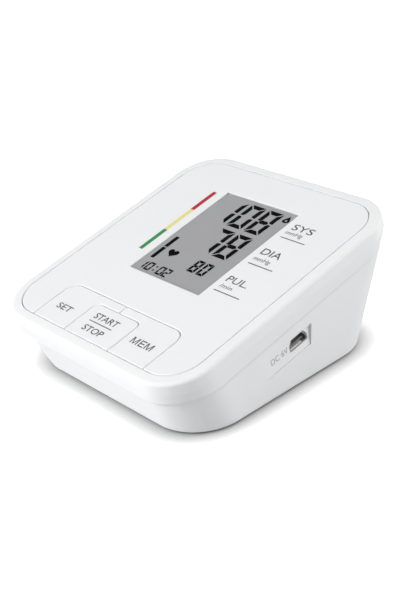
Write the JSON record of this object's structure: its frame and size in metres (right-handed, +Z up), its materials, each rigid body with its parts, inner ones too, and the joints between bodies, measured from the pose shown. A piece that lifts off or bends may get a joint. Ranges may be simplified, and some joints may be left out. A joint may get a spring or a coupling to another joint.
{
  "type": "arm blood pressure monitor",
  "caption": "Desktop blood pressure monitor with a sloping face, flush display window, L-shaped keys round a start key, air socket, power socket and battery door.",
  "frame": {"origin": "centre of the footprint, on the surface the feet stand on", "axes": "+X to the right of someone reading the display, +Y to the back, up the slope, +Z up"},
  "size_m": [0.1146, 0.1242, 0.0546],
  "materials": {
    "case_plastic": "fine satin white",
    "panel_plastic": "smooth white",
    "key_plastic": "satin white",
    "window_clear": "clear polished",
    "display_glass": "grey liquid crystal",
    "tray_plastic": "moulded",
    "zebra_rubber": "silicone",
    "board_green": "solder mask",
    "dark_plastic": "moulded",
    "plunger_plastic": "moulded",
    "screw_steel": "zinc plated",
    "socket_steel": "tin plated",
    "motor_steel": "zinc plated",
    "pump_plastic": "moulded",
    "sleeve_rubber": "soft",
    "valve_steel": "plated",
    "tube_silicone": "translucent silicone",
    "fitting_plastic": "moulded",
    "socket_plastic": "moulded grey",
    "battery_wrap": "plastic wrap",
    "contact_steel": "nickel plated",
    "foot_rubber": "soft"
  },
  "bodies": {
    "housing": {"top_case": "case_plastic", "bottom_case": "case_plastic", "face_panel": "panel_plastic", "display_window": "window_clear", "display_cell": "display_glass", "display_tray": "tray_plastic", "zebra_strip": "zebra_rubber", "set_switch": "dark_plastic", "start_stop_switch": "dark_plastic", "mem_switch": "dark_plastic", "main_board": "board_green", "board_screws": "screw_steel", "processor": "dark_plastic", "buzzer": "dark_plastic", "power_socket": "socket_steel", "power_tongue": "dark_plastic", "power_board": "board_green", "pump_motor": "motor_steel", "pump_head": "pump_plastic", "pump_sleeve": "sleeve_rubber", "release_valve": "valve_steel", "pressure_sensor": "dark_plastic", "air_tee": "fitting_plastic", "air_socket": "socket_plastic", "air_socket_nut": "fitting_plastic", "socket_tube": "tube_silicone", "valve_tube": "tube_silicone", "pump_tube": "tube_silicone", "sensor_tube": "tube_silicone", "battery_1": "battery_wrap", "battery_2": "battery_wrap", "battery_3": "battery_wrap", "battery_4": "battery_wrap", "contacts_left": "contact_steel", "contacts_right": "contact_steel", "case_screws": "screw_steel", "front_left_foot": "foot_rubber", "front_right_foot": "foot_rubber", "rear_left_foot": "foot_rubber", "rear_right_foot": "foot_rubber"},
    "set_button": {"set_key": "key_plastic", "set_plunger": "plunger_plastic"},
    "start_stop_button": {"start_stop_key": "key_plastic", "start_stop_plunger": "plunger_plastic"},
    "mem_button": {"mem_key": "key_plastic", "mem_plunger": "plunger_plastic"},
    "door": {"battery_door": "case_plastic"}
  },
  "joints": [
    {"name": "set_key_press", "type": "slide", "parent": "housing", "child": "set_button", "axis": [0, 0.2096, -0.9778], "range_m": [0, 0.0005], "stiffness_N_per_m": 2000, "springref_m": -0.0003},
    {"name": "start_stop_key_press", "type": "slide", "parent": "housing", "child": "start_stop_button", "axis": [0, 0.2096, -0.9778], "range_m": [0, 0.0005], "stiffness_N_per_m": 2000, "springref_m": -0.0003},
    {"name": "mem_key_press", "type": "slide", "parent": "housing", "child": "mem_button", "axis": [0, 0.2096, -0.9778], "range_m": [0, 0.0005], "stiffness_N_per_m": 2000, "springref_m": -0.0003},
    {"name": "battery_door_hinge", "type": "hinge", "parent": "housing", "child": "door", "pos_m": [0.0165, 0.0286, 0.001], "axis": [1, 0, 0], "range_deg": [0, 50]}
  ]
}
